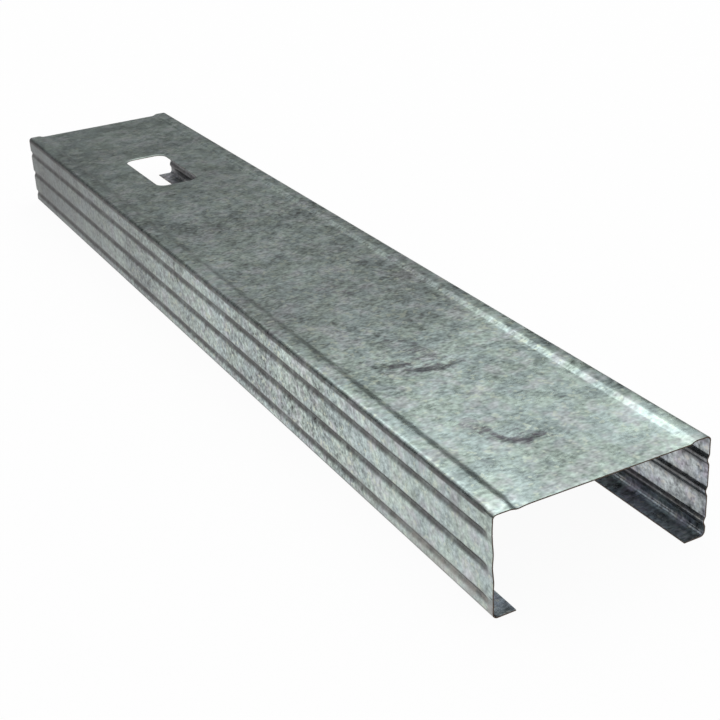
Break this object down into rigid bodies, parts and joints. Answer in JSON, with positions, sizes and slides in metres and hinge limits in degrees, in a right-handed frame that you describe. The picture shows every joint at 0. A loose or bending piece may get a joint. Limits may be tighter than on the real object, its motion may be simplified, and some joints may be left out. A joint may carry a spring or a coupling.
{
  "type": "steel stud",
  "caption": "Lipped channel stud rolled from thin galvanised sheet, with raised strips along its web, shallow grooves in its flanges and a round-cornered service hole.",
  "frame": {"origin": "middle of the stud's footprint, on the plane its lips lie on", "axes": "+X along the stud, away from the end with the service hole; +Y across the web; +Z out of the web, away from the open side"},
  "size_m": [0.533, 0.0922, 0.0413],
  "materials": {
    "galvanised_sheet": "satin, zinc spangle"
  },
  "bodies": {
    "root": {"stud": "galvanised_sheet"}
  },
  "joints": []
}
